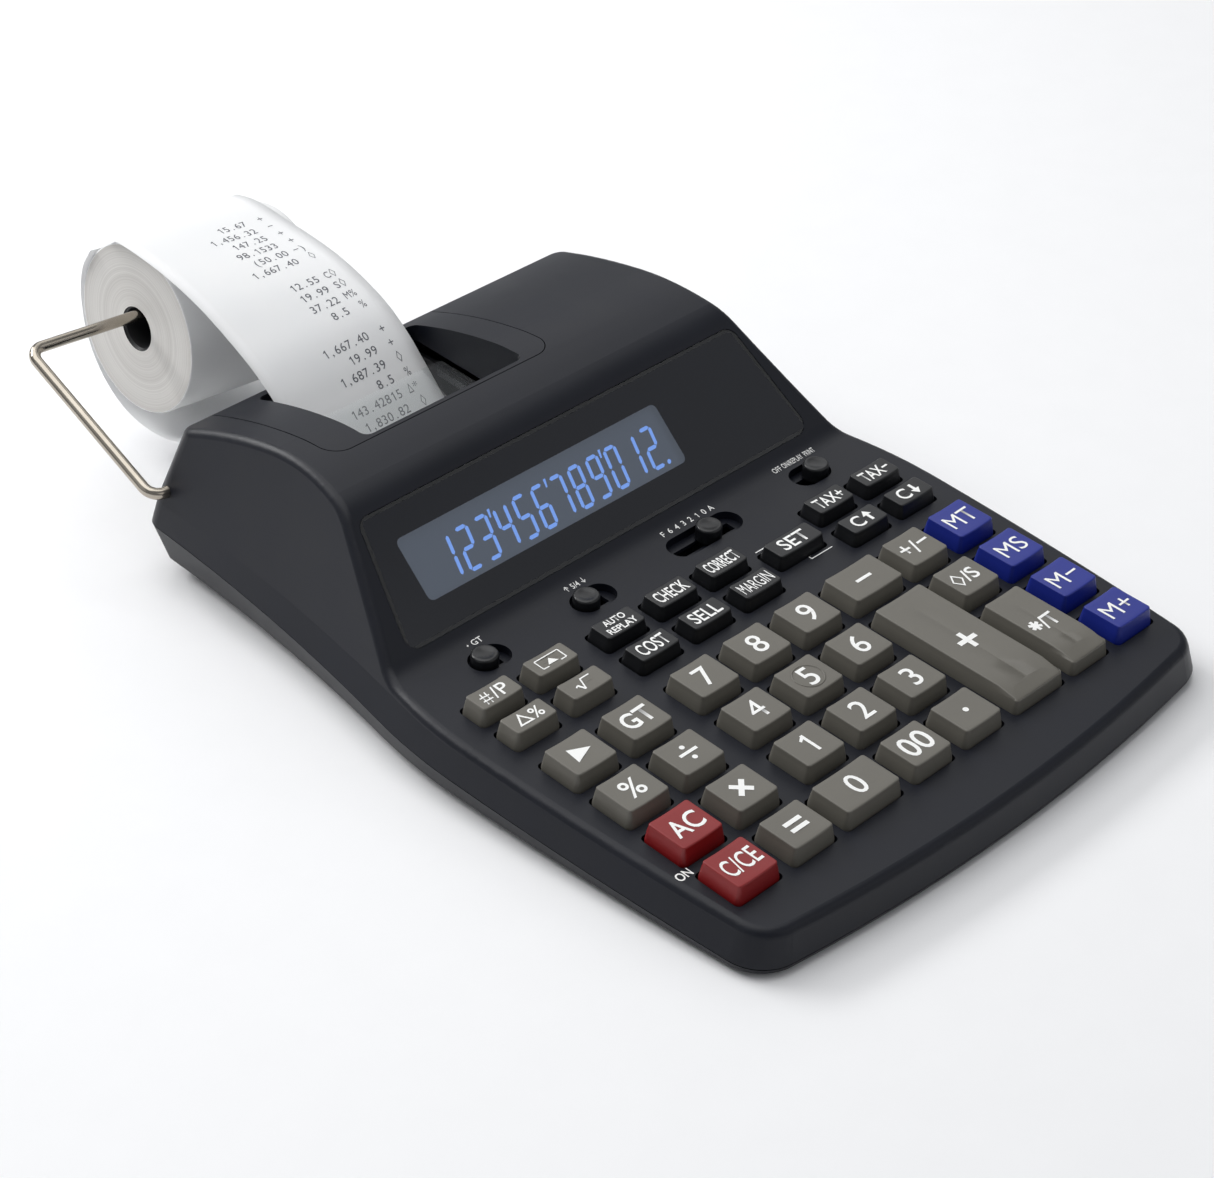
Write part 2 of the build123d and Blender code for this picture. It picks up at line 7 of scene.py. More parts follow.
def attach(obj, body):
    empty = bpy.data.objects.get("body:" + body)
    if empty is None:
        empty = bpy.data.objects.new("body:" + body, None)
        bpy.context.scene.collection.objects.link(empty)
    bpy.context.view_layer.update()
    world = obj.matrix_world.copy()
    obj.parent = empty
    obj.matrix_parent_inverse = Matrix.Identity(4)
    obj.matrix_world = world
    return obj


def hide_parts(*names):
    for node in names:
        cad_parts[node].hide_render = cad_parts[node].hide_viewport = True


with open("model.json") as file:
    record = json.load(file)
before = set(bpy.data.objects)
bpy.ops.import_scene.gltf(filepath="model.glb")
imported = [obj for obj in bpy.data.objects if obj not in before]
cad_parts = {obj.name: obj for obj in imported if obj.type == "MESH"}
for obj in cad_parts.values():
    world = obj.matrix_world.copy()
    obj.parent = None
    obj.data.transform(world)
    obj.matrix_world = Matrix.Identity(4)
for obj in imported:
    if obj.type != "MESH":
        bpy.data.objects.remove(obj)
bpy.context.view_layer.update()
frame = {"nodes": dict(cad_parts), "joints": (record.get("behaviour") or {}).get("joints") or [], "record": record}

# Desk printing calculator. Pieces are drawn in millimetres in the deck frame: X to the user's right, Y back
# along the key deck and Z square to it, with Z = 0 at the key tops.

MM = 0.001
scene = bpy.context.scene
FIXED = "calculator"

# ---------------------------------------------------------------- sizes shared with the CAD
PLATEN_V, PLATEN_W = 151.3, -9.6
DECK_W = -5.6
SLOPE = math.radians(41.5)
KEY_FLARE, FLANGE = 1.15, 0.9
DISH = 0.35
DROOP = math.radians(6.0)
ROLL_LEFT, PAPER_WIDTH = -52.0, 57.5
ROLL_R, CORE_R = 29.2, 7.0
KNOB_R = 4.3
LCD_LEFT, LCD_RIGHT, LCD_LOW, LCD_HIGH = -72.3, 37.2, 10.3, 31.5
PANEL_TOP_HALF, PANEL_BOTTOM_HALF, PANEL_LENGTH = 80.2, 87.7, 42.0
PANEL_THICKNESS = 1.6


def joint(name):
    return next(j for j in frame["joints"] if j["name"] == name)


press = Vector(joint("press_7")["axis"])
TILT = math.atan2(press.y, -press.z)
back_dir = Vector((0, math.cos(TILT), math.sin(TILT)))
up_dir = Vector((0, -math.sin(TILT), math.cos(TILT)))
deck_origin = Vector(joint("platen_turn")["pos_m"]) - back_dir * PLATEN_V * MM - up_dir * PLATEN_W * MM
deck_origin.x = 0
DECK = Matrix.Translation(deck_origin) @ Matrix.Rotation(TILT, 4, "X")


def deck_box(node):
    """Lowest and highest corner of a CAD node in the deck frame, in millimetres."""
    to_deck = DECK.inverted()
    points = [to_deck @ vertex.co / MM for vertex in frame["nodes"][node].data.vertices]
    low = Vector([min(p[i] for p in points) for i in range(3)])
    high = Vector([max(p[i] for p in points) for i in range(3)])
    return low, high


def slope_frame():
    """Frame on the display window: X across, Y up the slope from its lower edge, Z out of its face."""
    to_deck = DECK.inverted()
    points = [to_deck @ vertex.co for vertex in frame["nodes"]["display_window"].data.vertices]
    along = Vector((0, math.cos(SLOPE), math.sin(SLOPE)))
    out = Vector((0, -math.sin(SLOPE), math.cos(SLOPE)))
    origin = along * min(p.dot(along) for p in points) + out * max(p.dot(out) for p in points)
    return DECK @ Matrix.Translation(origin) @ Matrix.Rotation(SLOPE, 4, "X")


PANEL = slope_frame()


# ---------------------------------------------------------------- materials
def linear(code):
    """Linear colour of an sRGB hex code."""
    channels = [int(code[i:i + 2], 16) / 255 for i in (1, 3, 5)]
    return tuple(c / 12.92 if c <= 0.04045 else ((c + 0.055) / 1.055) ** 2.4 for c in channels) + (1.0,)


def add(tree, kind, settings=None, **inputs):
    """Adds a shader node. Inputs are named with _ for a space, and take a constant or another output."""
    made = tree.nodes.new(kind)
    for key, value in (settings or {}).items():
        setattr(made, key, value)
    for key, value in inputs.items():
        socket = made.inputs[key.replace("_", " ")]
        if isinstance(value, bpy.types.NodeSocket):
            tree.links.new(value, socket)
        else:
            socket.default_value = value
    return made


def new_material(name):
    material = bpy.data.materials.new(name)
    material.use_nodes = True
    material.node_tree.nodes.clear()
    return material, material.node_tree


def put_out(tree, shader):
    add(tree, "ShaderNodeOutputMaterial", Surface=shader)


def ranged(tree, factor, low, high):
    return add(tree, "ShaderNodeMapRange", Value=factor, To_Min=low, To_Max=high).outputs[0]


def shades(tree, factor, dark, light):
    """Colour between two hex codes."""
    ramp = add(tree, "ShaderNodeMix", {"data_type": "RGBA"}, Factor=factor)
    ramp.inputs[6].default_value = linear(dark)
    ramp.inputs[7].default_value = linear(light)
    return ramp.outputs[2]


def noise(tree, size_mm, detail=2.0, stretch=None, coords=None):
    """Noise with features of a real size, stretched by a factor along each axis if asked."""
    where = coords or add(tree, "ShaderNodeTexCoord").outputs["Object"]
    if stretch:
        where = add(tree, "ShaderNodeMapping", Vector=where, Scale=stretch).outputs[0]
    return add(tree, "ShaderNodeTexNoise", Vector=where, Scale=1 / (size_mm * MM), Detail=detail).outputs[0]


def moulded(name, dark, light, rough, grain_mm, grain_depth_mm, patch_mm=18.0, spread=0.05, sheen=0.5,
            glow=0.0):
    """Injection-moulded plastic: a fine spark-eroded grain, and gloss and tone that drift over patches."""
    material, tree = new_material(name)
    grain = noise(tree, grain_mm, 3.0)
    patch = noise(tree, patch_mm, 3.0)
    bump = add(tree, "ShaderNodeBump", Height=grain, Strength=0.6, Distance=grain_depth_mm * MM)
    shader = add(tree, "ShaderNodeBsdfPrincipled", Base_Color=shades(tree, patch, dark, light),
                 Roughness=ranged(tree, patch, rough - spread, rough + spread), Normal=bump.outputs[0],
                 Specular_IOR_Level=sheen)
    if glow:
        shader.inputs["Emission Color"].default_value = linear(light)
        shader.inputs["Emission Strength"].default_value = glow
    put_out(tree, shader.outputs[0])
    return material


def clear_acrylic(name, tint, frost, gloss_rough):
    """Clear plastic sheet: tinted see-through body, a little milky scatter, and a polished outer face."""
    material, tree = new_material(name)
    haze = noise(tree, 6.0, 2.0)
    through = add(tree, "ShaderNodeBsdfTransparent", Color=linear(tint))
    milk = add(tree, "ShaderNodeBsdfPrincipled", Base_Color=linear("#c9ced3"), Roughness=0.5)
    body = add(tree, "ShaderNodeMixShader", Fac=ranged(tree, haze, frost * 0.7, frost * 1.3))
    tree.links.new(through.outputs[0], body.inputs[1])
    tree.links.new(milk.outputs[0], body.inputs[2])
    gloss = add(tree, "ShaderNodeBsdfGlossy", Roughness=gloss_rough, Color=(1, 1, 1, 1))
    inside = add(tree, "ShaderNodeNewGeometry").outputs["Backfacing"]
    edge = add(tree, "ShaderNodeFresnel", IOR=1.49).outputs[0]
    outer_only = add(tree, "ShaderNodeMix", {"data_type": "FLOAT"}, Factor=inside)
    tree.links.new(edge, outer_only.inputs[2])
    outer_only.inputs[3].default_value = 0.0
    whole = add(tree, "ShaderNodeMixShader", Fac=outer_only.outputs[0])
    tree.links.new(body.outputs[0], whole.inputs[1])
    tree.links.new(gloss.outputs[0], whole.inputs[2])
    put_out(tree, whole.outputs[0])
    return material


def plated(name, dark, light, rough):
    """Drawn steel wire, nickel plated: a faint fine grain under the plate."""
    material, tree = new_material(name)
    lines = noise(tree, 0.5, 2.0)
    cloud = noise(tree, 9.0, 2.0)
    bump = add(tree, "ShaderNodeBump", Height=lines, Strength=0.12, Distance=0.01 * MM)
    shader = add(tree, "ShaderNodeBsdfPrincipled", Base_Color=shades(tree, cloud, dark, light), Metallic=1.0,
                 Roughness=ranged(tree, cloud, rough - 0.05, rough + 0.06), Normal=bump.outputs[0])
    put_out(tree, shader.outputs[0])
    return material


def paper(name, dark, light, through):
    """Smooth coated paper: fine fibres under the coating, and some light coming through the sheet."""
    material, tree = new_material(name)
    fibre = noise(tree, 0.25, 4.0, stretch=(0.35, 1.0, 1.0))
    cockle = noise(tree, 14.0, 1.0)
    tone = shades(tree, cockle, dark, light)
    bump = add(tree, "ShaderNodeBump", Height=fibre, Strength=0.25, Distance=0.02 * MM)
    face = add(tree, "ShaderNodeBsdfPrincipled", Base_Color=tone, Roughness=0.55, Normal=bump.outputs[0])
    passed = add(tree, "ShaderNodeBsdfTranslucent", Color=linear(light), Normal=bump.outputs[0])
    both = add(tree, "ShaderNodeMixShader", Fac=through)
    tree.links.new(face.outputs[0], both.inputs[1])
    tree.links.new(passed.outputs[0], both.inputs[2])
    put_out(tree, both.outputs[0])
    return material


def wound_paper(name, dark, light):
    """Edge of a wound roll: rings of paper turns about the roll's own X axis, some darker than others."""
    material, tree = new_material(name)
    where = add(tree, "ShaderNodeTexCoord").outputs["Object"]
    apart = add(tree, "ShaderNodeSeparateXYZ", Vector=where)
    flat = add(tree, "ShaderNodeCombineXYZ", Y=apart.outputs[1], Z=apart.outputs[2])
    radius = add(tree, "ShaderNodeVectorMath", {"operation": "LENGTH"}, Vector=flat.outputs[0])
    rings = add(tree, "ShaderNodeTexNoise", {"noise_dimensions": "1D"}, W=radius.outputs["Value"],
                Scale=1 / (0.5 * MM), Detail=6.0).outputs[0]
    bands = add(tree, "ShaderNodeTexNoise", {"noise_dimensions": "1D"}, W=radius.outputs["Value"],
                Scale=1 / (5.0 * MM), Detail=2.0).outputs[0]
    mixed = add(tree, "ShaderNodeMath", {"operation": "MULTIPLY"})
    tree.links.new(rings, mixed.inputs[0])
    tree.links.new(bands, mixed.inputs[1])
    spread = add(tree, "ShaderNodeMapRange", Value=mixed.outputs[0], From_Min=0.12, From_Max=0.4).outputs[0]
    bump = add(tree, "ShaderNodeBump", Height=rings, Strength=0.5, Distance=0.06 * MM)
    shader = add(tree, "ShaderNodeBsdfPrincipled", Base_Color=shades(tree, spread, dark, light),
                 Roughness=0.75, Normal=bump.outputs[0])
    put_out(tree, shader.outputs[0])
    return material


def printed(name, colour, rough, glow=0.0):
    """Thin layer of ink or paint, slightly uneven in tone."""
    return moulded(name, colour, colour, rough, 0.2, 0.004, patch_mm=2.5, spread=0.08, glow=glow)


# Spark-eroded ABS: a fine even grain that keeps the highlights soft along the ridges.
CASE = moulded("charcoal_abs_spark_eroded", "#0b0e17", "#10131e", 0.42, 0.45, 0.028, sheen=0.32)
CASE_BASE = moulded("charcoal_abs_bottom_case", "#0a0c14", "#0f121b", 0.43, 0.5, 0.032, sheen=0.3)
# Keycaps in finer-grained ABS: each colour reads clearly, with a soft shine on the dished tops.
KEY_GREY = moulded("warm_grey_keycap_abs", "#625f58", "#6b6860", 0.42, 0.25, 0.012)
KEY_RED = moulded("dark_red_keycap_abs", "#7c1214", "#8a1719", 0.40, 0.25, 0.012)
KEY_BLUE = moulded("dark_blue_keycap_abs", "#12227e", "#17298c", 0.40, 0.25, 0.012)
KEY_BLACK = moulded("black_keycap_abs", "#111214", "#16171a", 0.38, 0.25, 0.012)
# Acetal knobs are smoother and shinier than the case around them.
KNOB_BLACK = moulded("black_switch_knob_acetal", "#0e0f11", "#141518", 0.3, 0.3, 0.01)
# Screen-printed ink: matt, flat white.
LEGEND = printed("white_screen_printed_ink", "#f2f2f0", 0.5)
# Printed acrylic: a dark border that mirrors the room, round a smoky clear opening.
PANEL_INK = moulded("back_printed_dark_ink", "#0e1119", "#12151e", 0.2, 0.3, 0.0002, spread=0.02, sheen=0.4)
WINDOW = clear_acrylic("smoked_acrylic_window", "#d5d9df", 0.010, 0.06)
# Backlit liquid crystal: an even grey face that glows a little, and digits that glow blue.
LCD_GLASS = moulded("grey_liquid_crystal_cell", "#51555c", "#5b6067", 0.3, 0.6, 0.002, patch_mm=60.0, glow=1.1)
LCD_SEGMENT = printed("lit_blue_lcd_segment", "#86adf0", 0.4, glow=1.35)
# Clear styrene: the paper and its printing show through, with a shine on top.
CLEAR = clear_acrylic("clear_styrene_tear_bar", "#fafbfb", 0.02, 0.06)
# Nickel plate on drawn wire: warm grey metal with long sharp reflections.
NICKEL = plated("nickel_plated_steel_wire", "#9f978b", "#bdb5a9", 0.17)
# Thermal paper: bright, smooth and slightly see-through; its cut edges show the turns of the roll. The cut edges
# are also given a greyer tone than the sheet, which is painted shade on the sides of the roll.
PAPER = paper("coated_thermal_paper", "#f8f9fa", "#fdfdfd", 0.2)
# Greyer than the sheet: painted shade on the roll's side faces, over the real rings of the turns.
PAPER_EDGE_PAINTED_SHADE = wound_paper("wound_paper_edge_painted_shade", "#c9c6c2", "#dcdad6")
PRINT = printed("thermal_print_grey", "#5a5c63", 0.6)
CORE_PLASTIC = moulded("black_roll_core_plastic", "#141416", "#1b1b1e", 0.45, 0.4, 0.02)
# Nylon, ground rubber and moulded rubber: three darks that differ in how dull they are.
WORKS = moulded("black_nylon_printer_frame", "#121316", "#191a1e", 0.5, 0.4, 0.02)
PLATEN_RUBBER = moulded("ground_platen_rubber", "#17171a", "#1e1e21", 0.7, 0.15, 0.02)
FOOT_RUBBER = moulded("black_rubber_foot", "#1a1a1b", "#222223", 0.8, 0.5, 0.04)


# ---------------------------------------------------------------- building pieces
def mesh_piece(name, points, faces, finish, body=FIXED, place=DECK, smooth=True, stands_for=(), mount=True):
    """Mesh from points in millimetres of the frame that place gives."""
    data = bpy.data.meshes.new(name)
    data.from_pydata([Vector(point) * MM for point in points], [], faces)
    data.materials.append(finish)
    data.validate()
    data.update()
    for polygon in data.polygons:
        polygon.use_smooth = smooth
    piece = bpy.data.objects.new(name, data)
    scene.collection.objects.link(piece)
    piece.matrix_world = place
    if mount:
        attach(piece, body)
    if stands_for:
        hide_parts(*stands_for)
    return piece


def repaint(node, finish):
    data = frame["nodes"][node].data
    data.materials.clear()
    data.materials.append(finish)


def rounded_ring(half_x, half_y, radius, per_corner=6, per_side=8):
    """Points round a rounded rectangle, anticlockwise, with points along each side."""
    ring = []
    corners = [(half_x - radius, half_y - radius, 0), (radius - half_x, half_y - radius, 90),
               (radius - half_x, radius - half_y, 180), (half_x - radius, radius - half_y, 270)]
    for index, (cx, cy, start) in enumerate(corners):
        for step in range(per_corner + 1):
            angle = math.radians(start + 90 * step / per_corner)
            ring.append((cx + radius * math.cos(angle), cy + radius * math.sin(angle)))
        nx, ny, turn = corners[(index + 1) % 4]
        first = ring[-1]
        angle = math.radians(turn)
        last = (nx + radius * math.cos(angle), ny + radius * math.sin(angle))
        for step in range(1, per_side):
            f = step / per_side
            ring.append((first[0] + (last[0] - first[0]) * f, first[1] + (last[1] - first[1]) * f))
    return ring


def skin(rings, closed_top=True):
    """Points and faces of a stack of equal rings, closed at the top by a fan."""
    count = len(rings[0])
    points = [point for ring in rings for point in ring]
    faces = []
    for level in range(len(rings) - 1):
        low, high = level * count, (level + 1) * count
        for i in range(count):
            j = (i + 1) % count
            faces.append((low + i, low + j, high + j, high + i))
    if closed_top:
        top = rings[-1]
        middle = tuple(sum(point[k] for point in top) / count for k in range(3))
        points.append(middle)
        last = (len(rings) - 1) * count
        for i in range(count):
            faces.append((last + i, last + (i + 1) % count, len(points) - 1))
    return points, faces


def lathe(profile, steps=48, centre=(0, 0)):
    """Rings about an upright axis from (radius, height) pairs."""
    rings = []
    for radius, height in profile:
        ring = []
        for i in range(steps):
            angle = 2 * math.pi * i / steps
            ring.append((centre[0] + radius * math.cos(angle), centre[1] + radius * math.sin(angle), height))
        rings.append(ring)
    return rings


GLYPHS = {}


def glyphs(text, bold):
    """Flat outline of a text with capitals one unit high, centred on its own width."""
    key = (text, bold)
    if text == "1":
        stem, stroke = 0.08, 0.13
        flag = polygon((stem, 0.5), (-0.2, 0.3), (-0.16, 0.2), (stem, 0.33))
        return joined(bar(stem, -0.5, stem, 0.5, stroke + bold), flag)
    if key not in GLYPHS:
        curve = bpy.data.curves.new("lettering", "FONT")
        curve.body = text
        curve.offset = bold
        curve.resolution_u = 4
        holder = bpy.data.objects.new("lettering", curve)
        scene.collection.objects.link(holder)
        bpy.context.view_layer.update()
        flat = bpy.data.meshes.new_from_object(holder)
        cap = 0.685         # height of a capital in the built-in typeface
        points = [(vertex.co.x / cap, vertex.co.y / cap) for vertex in flat.vertices]
        faces = [tuple(polygon.vertices) for polygon in flat.polygons]
        middle = (min(p[0] for p in points) + max(p[0] for p in points)) / 2
        GLYPHS[key] = ([(x - middle, y - 0.5) for x, y in points], faces)
        bpy.data.objects.remove(holder)
        bpy.data.curves.remove(curve)
        bpy.data.meshes.remove(flat)
    return GLYPHS[key]


def lettering(text, height, widest=1000.0, bold=0.018, centred=False):
    """Text at a real height in millimetres, squeezed to fit a width, or centred on its own height."""
    points, faces = glyphs(text, bold)
    width = (max(p[0] for p in points) - min(p[0] for p in points)) * height
    squeeze = min(1.0, widest / width)
    drop = (min(p[1] for p in points) + max(p[1] for p in points)) / 2 if centred else 0
    return [(x * height * squeeze, (y - drop) * height) for x, y in points], faces


def joined(*drawings):
    """Several flat drawings as one."""
    points, faces = [], []
    for more_points, more_faces in drawings:
        start = len(points)
        points += more_points
        faces += [tuple(i + start for i in face) for face in more_faces]
    return points, faces


def moved(drawing, dx, dy, scale=1.0):
    return [(x * scale + dx, y * scale + dy) for x, y in drawing[0]], drawing[1]


def bar(x0, y0, x1, y1, width):
    """Straight stroke between two points."""
    length = math.hypot(x1 - x0, y1 - y0)
    nx, ny = -(y1 - y0) / length * width / 2, (x1 - x0) / length * width / 2
    return [(x0 + nx, y0 + ny), (x0 - nx, y0 - ny), (x1 - nx, y1 - ny), (x1 + nx, y1 + ny)], [(0, 1, 2, 3)]


def polygon(*points):
    return list(points), [tuple(range(len(points)))]


def disc(x, y, radius, steps=24):
    ring = [(x + radius * math.cos(2 * math.pi * i / steps), y + radius * math.sin(2 * math.pi * i / steps))
            for i in range(steps)]
    return ring, [tuple(range(steps))]


# ---------------------------------------------------------------- keys
PLUS_NOSE = 6.5             # length of the sloping front end of the two tall keys
NOSE_DROP = 1.5
INK = 0.09                  # height of printing above the surface it is on


def tall(node):
    return node in ("key_plus", "key_total")


class Cap:
    """Top face of one key, from its CAD node."""

    def __init__(self, node):
        low, high = deck_box(node)
        spread = KEY_FLARE + FLANGE
        self.node = node
        self.x, self.y = (low.x + high.x) / 2, (low.y + high.y) / 2
        self.top = high.z
        self.half_x, self.half_y = (high.x - low.x) / 2 - spread, (high.y - low.y) / 2 - spread

    def height(self, x, y):
        """Height of the dished top at a point measured from the key's middle."""
        across = min(1.0, abs(x) / self.half_x)
        level = self.top - DISH * (1 - across * across)
        if tall(self.node):
            into = y + self.half_y - PLUS_NOSE
            if into < 0:
                level += NOSE_DROP * into / PLUS_NOSE
        return level

    def build(self, finish):
        rings = []
        edge, corner = 0.5, 0.9
        below_deck = 3.0
        skirt = ((KEY_FLARE, -DECK_W + below_deck), (KEY_FLARE, -DECK_W + self.top),
                 (0.45, 1.9), (0.22, 1.15))
        for grow, drop in skirt:
            ring = rounded_ring(self.half_x + grow, self.half_y + grow, corner + grow)
            rings.append([(self.x + x, self.y + y, self.top - drop) for x, y in ring])
        for step in range(6):
            angle = math.radians(10 + 80 * step / 5)
            grow = edge * math.cos(angle) - edge + 0.17
            ring = rounded_ring(self.half_x + grow, self.half_y + grow, corner + grow)
            lower = edge * (1 - math.sin(angle))
            rings.append([(self.x + x, self.y + y, self.height(x, y) - lower) for x, y in ring])
        for shrink in (1.6, 2.6, 3.6):
            reach_y = self.half_y - shrink
            ring = rounded_ring(self.half_x - shrink, reach_y, min(0.9, 0.8 * reach_y))
            rings.append([(self.x + x, self.y + y, self.height(x, y)) for x, y in ring])
        for reach_x, reach_y in ((self.half_x - 4.4, self.half_y - 4.4), (0.3, self.half_y - 5.0)):
            ring = rounded_ring(reach_x, max(0.2, reach_y), 0.15)
            rings.append([(self.x + x, self.y + y, self.height(x, y)) for x, y in ring])
        points, faces = skin(rings)
        return mesh_piece(f"{self.node}_cap", points, faces, finish, self.node, stands_for=[self.node])

    def letter(self, drawing, finish=None):
        points = [(self.x + x, self.y + y, self.height(x, y) + INK) for x, y in drawing[0]]
        mesh_piece(f"{self.node}_legend", points, drawing[1], finish or LEGEND, self.node)


HEAVY = 0.012               # thickening of a stroke, as a fraction of the letter height
THIN = 0.0
DIGIT = (7.8, 10.0)         # height and greatest width
MEMORY = (6.4, 11.5)
SIGN = (6.0, 5.0)


def feed_symbol():
    """A sheet leaving a slot."""
    w, h = 4.6, 2.1
    line = 0.42
    return joined(bar(-w, h, w, h, line), bar(-w, h, -w, -h, line), bar(w, h, w, -h, line),
                  bar(-w, -h, -w + 2.2, -h, line), bar(w, -h, w - 2.2, -h, line),
                  polygon((-2.0, -1.5), (2.0, -1.5), (0, 1.0)))


LEGENDS = {
    "key_item_count": joined(moved(lettering("#", 5.0, 3.6, THIN), -3.5, 0),
                             moved(lettering("/", 5.0, 3.0, 0.004), 0, 0),
                             moved(lettering("P", 5.0, 3.6, 0.006), 3.2, 0)),
    "key_percent_change": lettering("△%", 4.4, 10.0, 0.01),
    "key_paper_feed": feed_symbol(),
    "key_square_root": joined(bar(-3.6, -0.4, -2.6, 0.3, 0.5), bar(-2.6, 0.3, -1.5, -2.3, 0.75),
                              bar(-1.5, -2.3, 0.2, 2.3, 0.5), bar(0.0, 2.1, 3.6, 2.1, 0.5)),
    "key_auto_replay": joined(moved(lettering("AUTO", 2.5, 8.5, 0.02), 0, 1.9),
                              moved(lettering("REPLAY", 2.5, 11.5, 0.02), 0, -1.9)),
    "key_cost": lettering("COST", 5.0, 11.5, HEAVY),
    "key_check": lettering("CHECK", 4.8, 12.5, HEAVY),
    "key_sell": lettering("SELL", 5.0, 11.5, HEAVY),
    "key_correct": lettering("CORRECT", 4.6, 13.2, 0.016),
    "key_margin": lettering("MARGIN", 4.8, 13.0, THIN),
    "key_set": lettering("SET", 5.2, 12.0, HEAVY),
    "key_tax_plus": lettering("TAX+", 4.8, 12.0, HEAVY),
    "key_tax_minus": lettering("TAX−", 4.8, 12.0, HEAVY),
    "key_rate_up": joined(moved(lettering("C", 5.0, 5.0, HEAVY), -2.4, 0), bar(2.6, -2.4, 2.6, 1.2, 1.1),
                          polygon((0.8, 0.4), (4.4, 0.4), (2.6, 2.8))),
    "key_rate_down": joined(moved(lettering("C", 5.0, 5.0, HEAVY), -2.4, 0), bar(2.6, 2.4, 2.6, -1.2, 1.1),
                            polygon((4.4, -0.4), (0.8, -0.4), (2.6, -2.8))),
    "key_backspace": polygon((-3.4, -3.0), (3.8, -0.1), (-2.8, 3.2)),
    "key_percent": lettering("%", 7.0, 10.5, 0.01),
    "key_all_clear": lettering("AC", 6.6, 11.0, 0.012),
    "key_clear_entry": lettering("C/CE", 6.4, 12.4, 0.008),
    "key_grand_total": lettering("GT", 6.4, 11.0, 0.02),
    "key_divide": joined(bar(-3.4, 0, 3.4, 0, 1.15), disc(0, 2.6, 0.85), disc(0, -2.6, 0.85)),
    "key_multiply": joined(bar(-2.5, -2.5, 2.5, 2.5, 1.7), bar(-2.5, 2.5, 2.5, -2.5, 1.7)),
    "key_equals": joined(bar(-3.3, 1.5, 3.3, 1.5, 1.5), bar(-3.3, -1.5, 3.3, -1.5, 1.5)),
    "key_00": lettering("00", 7.8, 10.8, 0.012),
    "key_decimal": disc(0, 0, 0.95),
    "key_minus": bar(-3.3, 0, 3.3, 0, 1.2),
    "key_plus": joined(bar(-3.8, 0, 3.8, 0, 1.8), bar(0, -3.8, 0, 3.8, 1.8)),
    "key_sign": joined(moved(lettering("+", *SIGN, 0.01, centred=True), -3.8, 0.6),
                       moved(lettering("/", *SIGN, 0.01, centred=True), 0, 0),
                       moved(lettering("−", *SIGN, 0.01, centred=True), 3.8, 0.6)),
    "key_subtotal": joined(moved(lettering("◇", 4.6, 4.8, 0.008, centred=True), -3.8, 0),
                           moved(lettering("/S", 5.2, 6.5, 0.016), 1.6, 0)),
    "key_total": joined(moved(lettering("∗", 7.6, 5.0, 0.02, centred=True), -3.8, 0.6),
                        moved(lettering("/T", 5.4, 6.5, 0.016), 1.6, 0)),
    "key_memory_total": lettering("MT", *MEMORY, THIN),
    "key_memory_subtotal": lettering("MS", *MEMORY, THIN),
    "key_memory_minus": lettering("M−", *MEMORY, THIN),
    "key_memory_plus": lettering("M+", *MEMORY, THIN),
}
for digit in "0123456789":
    LEGENDS[f"key_{digit}"] = lettering(digit, *DIGIT, THIN if digit == "4" else 0.006)

slots = {entry["node"]: entry["material_slot"] for entry in frame["record"]["subparts"]}
KEY_FINISH = {"key_grey": KEY_GREY, "key_red": KEY_RED, "key_blue": KEY_BLUE, "key_black": KEY_BLACK}
caps = {}
for node, slot_name in slots.items():
    if slot_name in KEY_FINISH:
        caps[node] = Cap(node)
        caps[node].build(KEY_FINISH[slot_name])
        caps[node].letter(LEGENDS[node])


def home_ring():
    """Raised ring round the middle digit, so that a finger finds it."""
    cap = caps["key_5"]
    radius, thick = 4.9, 0.32
    points, faces = [], []
    around, section = 64, 8
    for i in range(around):
        a = 2 * math.pi * i / around
        for k in range(section):
            b = 2 * math.pi * k / section
            r = radius + thick * math.cos(b)
            x, y = r * math.cos(a), r * math.sin(a)
            points.append((cap.x + x, cap.y + y, cap.height(x, y) + thick * 0.6 * math.sin(b)))
            n, m = (i + 1) % around, (k + 1) % section
            faces.append((i * section + k, n * section + k, n * section + m, i * section + m))
    mesh_piece("key_5_home_ring", points, faces, KEY_GREY, "key_5")


home_ring()


# ---------------------------------------------------------------- deck: switches and small lettering
def knob(node):
    """Round knob with a shallow dished top."""
    low, high = deck_box(node)
    x, y, top = (low.x + high.x) / 2, (low.y + high.y) / 2, high.z
    r = KNOB_R
    side = [(r, top - 5.0), (r, top - 0.9), (r - 0.12, top - 0.45), (r - 0.45, top - 0.1)]
    dish = [(r - 0.9, top), (r - 1.3, top - 0.06), (r - 2.0, top - 0.28), (r - 3.0, top - 0.45),
            (r - 4.2, top - 0.52)]
    profile = side + dish
    points, faces = skin(lathe(profile, 48, (x, y)))
    mesh_piece(f"{node}_knob", points, faces, KNOB_BLACK, node, stands_for=[node])


for node, slot_name in slots.items():
    if slot_name == "knob_black":
        knob(node)


HOLLOW_START, HOLLOW_R = 59.25, 12.0    # where the deck starts to curve up to the display


def deck_text(name, drawing, x, y):
    points = []
    for px, py in drawing[0]:
        past = max(0.0, y + py - HOLLOW_START)
        rise = HOLLOW_R - math.sqrt(HOLLOW_R ** 2 - past ** 2)
        points.append((x + px, y + py, DECK_W + rise + INK))
    mesh_piece(name, points, drawing[1], LEGEND)


